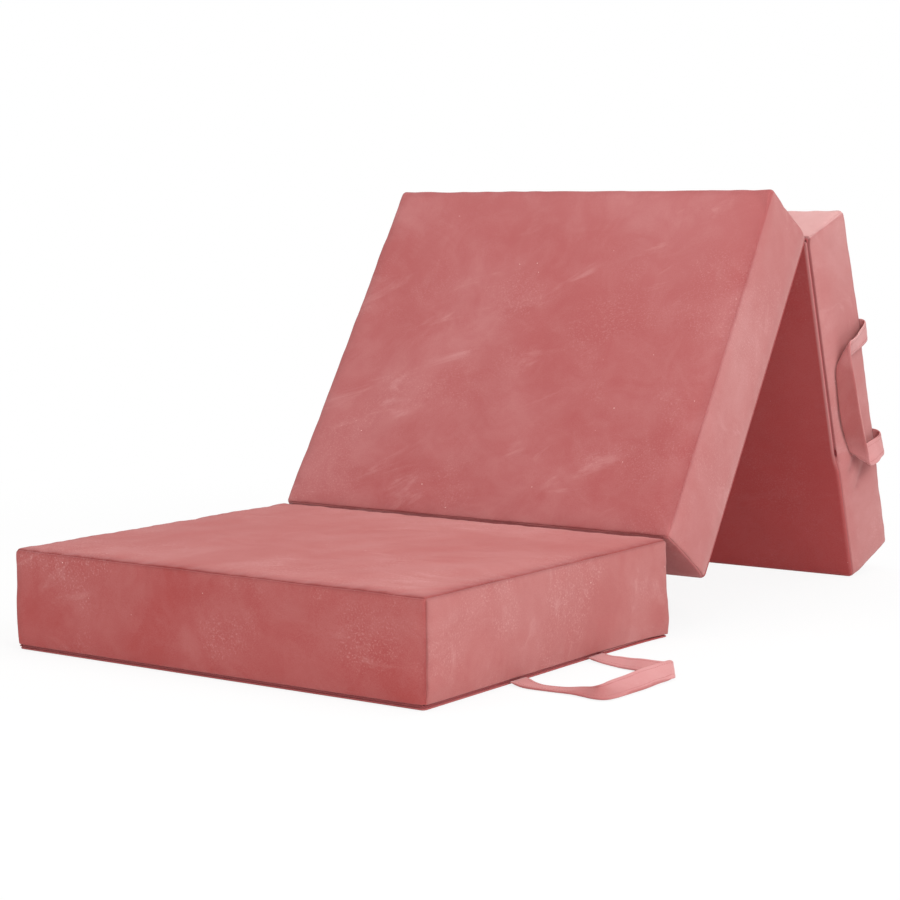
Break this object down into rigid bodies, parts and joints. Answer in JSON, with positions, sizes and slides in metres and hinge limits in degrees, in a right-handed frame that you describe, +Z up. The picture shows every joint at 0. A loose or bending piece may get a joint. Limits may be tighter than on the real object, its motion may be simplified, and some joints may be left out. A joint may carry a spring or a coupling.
{
  "type": "folding floor mattress chair",
  "caption": "Tri-fold velvet-covered foam mattress posed as a legless floor chair: flat seat, leaning back and rear prop panel, with strap handles.",
  "frame": {"origin": "middle of the seat panel's underside, on the floor", "axes": "+Z up, +Y from the seat's front edge towards the back panel, +X towards the side with the strap handles"},
  "size_m": [0.9086, 1.4488, 0.6792],
  "materials": {
    "velvet": "short-pile velvet",
    "velvet_base": "short-pile velvet, shaded side",
    "strap_velvet": "folded velvet strap, stitched",
    "support_foam": "open-cell foam",
    "comfort_foam": "soft open-cell foam",
    "zip_tape": "woven zip tape",
    "zip_metal": "painted zinc"
  },
  "bodies": {
    "seat": {"seat_top_sheet": "velvet", "seat_low_end_band": "velvet", "seat_high_end_band": "velvet", "seat_right_band": "velvet", "seat_left_band": "velvet", "seat_base_sheet": "velvet_base", "seat_comfort_foam": "comfort_foam", "seat_support_foam": "support_foam", "seat_zip_tape": "zip_tape", "seat_base_seam": "velvet_base", "front_web_seat_flap": "velvet_base"},
    "seat_slider": {"seat_zip_slider": "zip_metal"},
    "seat_pull": {"seat_zip_pull": "zip_metal"},
    "back": {"back_top_sheet": "velvet", "back_low_end_band": "velvet", "back_high_end_band": "velvet", "back_right_band": "velvet", "back_left_band": "velvet", "back_base_sheet": "velvet_base", "back_comfort_foam": "comfort_foam", "back_support_foam": "support_foam", "back_zip_tape": "zip_tape", "back_base_seam": "velvet_base", "front_web_back_flap": "velvet_base", "rear_web_back_flap": "velvet_base"},
    "back_slider": {"back_zip_slider": "zip_metal"},
    "back_pull": {"back_zip_pull": "zip_metal"},
    "rear": {"rear_top_sheet": "velvet", "rear_low_end_band": "velvet", "rear_high_end_band": "velvet", "rear_right_band": "velvet", "rear_left_band": "velvet", "rear_base_sheet": "velvet_base", "rear_comfort_foam": "comfort_foam", "rear_support_foam": "support_foam", "rear_zip_tape": "zip_tape", "rear_base_seam": "velvet_base", "rear_web_rear_flap": "velvet_base"},
    "rear_slider": {"rear_zip_slider": "zip_metal"},
    "rear_pull": {"rear_zip_pull": "zip_metal"},
    "seat_strap": {"seat_strap_handle": "strap_velvet"},
    "rear_strap": {"rear_strap_handle": "strap_velvet"}
  },
  "joints": [
    {"name": "back_fold", "type": "hinge", "parent": "seat", "child": "back", "pos_m": [0, 0.3175, 0.1505], "axis": [-1, 0, 0], "range_deg": [-121.4, 57.05]},
    {"name": "rear_fold", "type": "hinge", "parent": "back", "child": "rear", "pos_m": [0, 0.78959, 0.60123], "axis": [1, 0, 0], "range_deg": [-51.5, 128.4]},
    {"name": "seat_strap_swing", "type": "hinge", "parent": "seat", "child": "seat_strap", "pos_m": [0.37075, 0.0075, 0.0027], "axis": [0, -1, 0], "range_deg": [0, 60]},
    {"name": "rear_strap_swing", "type": "hinge", "parent": "rear", "child": "rear_strap", "pos_m": [0.36789, 1.03832, 0.32723], "axis": [0, -0.3188, 0.9478], "range_deg": [0, 120]},
    {"name": "seat_zip_slide", "type": "slide", "parent": "seat", "child": "seat_slider", "axis": [0, -1, 0], "range_m": [0, 0.42]},
    {"name": "seat_pull_swing", "type": "hinge", "parent": "seat_slider", "child": "seat_pull", "pos_m": [0.36955, 0.1195, 0.0063], "axis": [0, 0, -1], "range_deg": [0, 175]},
    {"name": "back_zip_slide", "type": "slide", "parent": "back", "child": "back_slider", "axis": [0, 0.5439, 0.8391], "range_m": [0, 0.4]},
    {"name": "back_pull_swing", "type": "hinge", "parent": "back_slider", "child": "back_pull", "pos_m": [-0.36955, 0.55544, 0.25249], "axis": [0, 0.8391, -0.5439], "range_deg": [0, 175]},
    {"name": "rear_zip_slide", "type": "slide", "parent": "rear", "child": "rear_slider", "axis": [0, -0.3188, 0.9478], "range_m": [0, 0.37]},
    {"name": "rear_pull_swing", "type": "hinge", "parent": "rear_slider", "child": "rear_pull", "pos_m": [0.36955, 0.92038, 0.23375], "axis": [0, -0.9478, -0.3188], "range_deg": [0, 175]}
  ]
}
